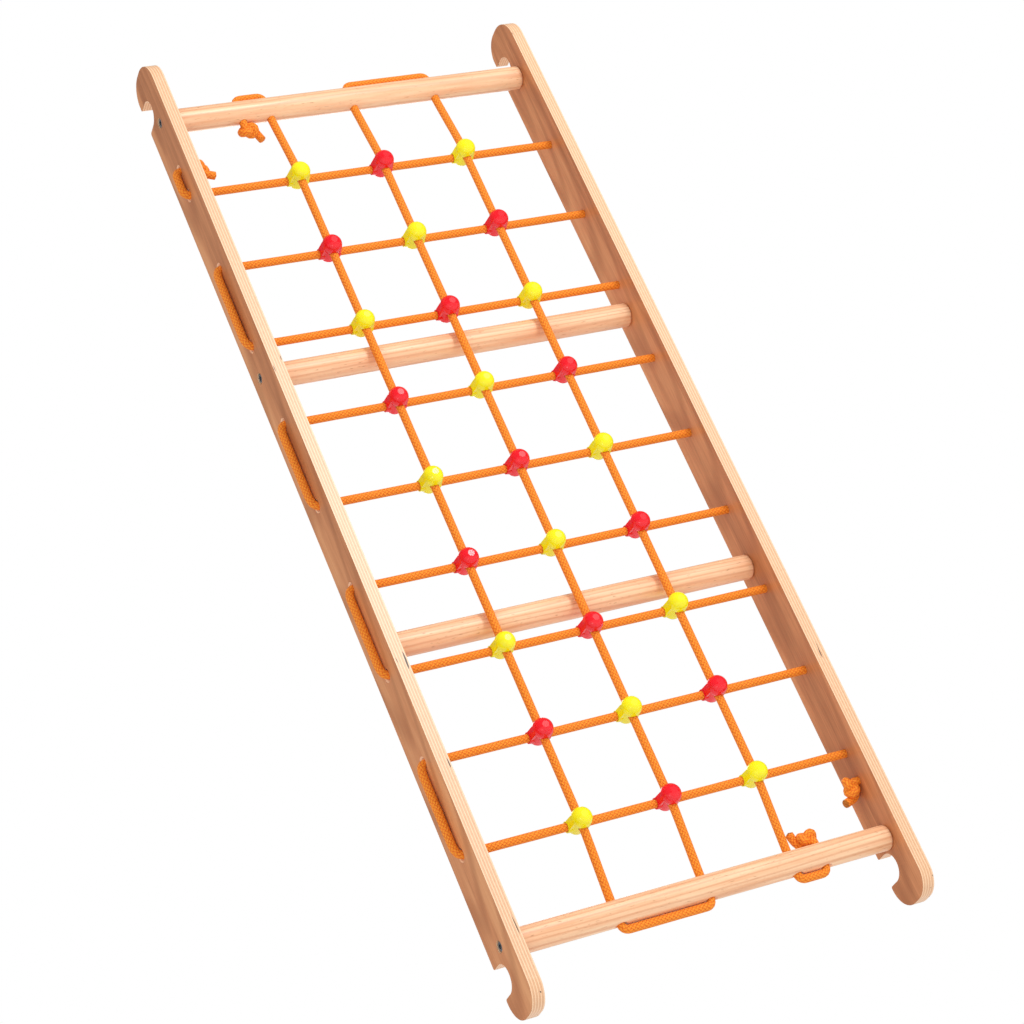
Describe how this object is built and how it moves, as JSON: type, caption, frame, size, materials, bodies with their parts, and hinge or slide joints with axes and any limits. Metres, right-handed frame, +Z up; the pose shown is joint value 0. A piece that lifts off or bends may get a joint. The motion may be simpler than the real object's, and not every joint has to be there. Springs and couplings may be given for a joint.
{
  "type": "cargo climbing net",
  "caption": "Ladder-shaped cargo climbing net with two hooked plywood rails, round dowels, taut ropes and ball connectors, hung on wall bars.",
  "frame": {"origin": "on the axis of the wall-bar rung that the upper hooks hold, midway between the rails", "axes": "+Z up along the rails, +Y towards the wall bars (the hooks' open side), +X across the net"},
  "size_m": [0.6246, 0.08, 1.5],
  "materials": {
    "rail_wood": "clear-varnished plywood",
    "dowel_wood": "clear-varnished beech",
    "rope_fabric": "braided cord",
    "yellow_plastic": "gloss",
    "red_plastic": "gloss",
    "screw_steel": "zinc plated",
    "insert_brass": "turned"
  },
  "bodies": {
    "root": {"left_rail": "rail_wood", "right_rail": "rail_wood", "top_dowel": "dowel_wood", "top_dowel_screws": "screw_steel", "top_dowel_inserts": "insert_brass", "upper_middle_dowel": "dowel_wood", "upper_middle_dowel_screws": "screw_steel", "upper_middle_dowel_inserts": "insert_brass", "lower_middle_dowel": "dowel_wood", "lower_middle_dowel_screws": "screw_steel", "lower_middle_dowel_inserts": "insert_brass", "bottom_dowel": "dowel_wood", "bottom_dowel_screws": "screw_steel", "bottom_dowel_inserts": "insert_brass", "connector_r1_c1": "yellow_plastic", "connector_r1_c2": "red_plastic", "connector_r1_c3": "yellow_plastic", "connector_r2_c1": "red_plastic", "connector_r2_c2": "yellow_plastic", "connector_r2_c3": "red_plastic", "connector_r3_c1": "yellow_plastic", "connector_r3_c2": "red_plastic", "connector_r3_c3": "yellow_plastic", "connector_r4_c1": "red_plastic", "connector_r4_c2": "yellow_plastic", "connector_r4_c3": "red_plastic", "connector_r5_c1": "yellow_plastic", "connector_r5_c2": "red_plastic", "connector_r5_c3": "yellow_plastic", "connector_r6_c1": "red_plastic", "connector_r6_c2": "yellow_plastic", "connector_r6_c3": "red_plastic", "connector_r7_c1": "yellow_plastic", "connector_r7_c2": "red_plastic", "connector_r7_c3": "yellow_plastic", "connector_r8_c1": "red_plastic", "connector_r8_c2": "yellow_plastic", "connector_r8_c3": "red_plastic", "connector_r9_c1": "yellow_plastic", "connector_r9_c2": "red_plastic", "connector_r9_c3": "yellow_plastic", "cross_rope": "rope_fabric", "long_rope": "rope_fabric"}
  },
  "joints": []
}
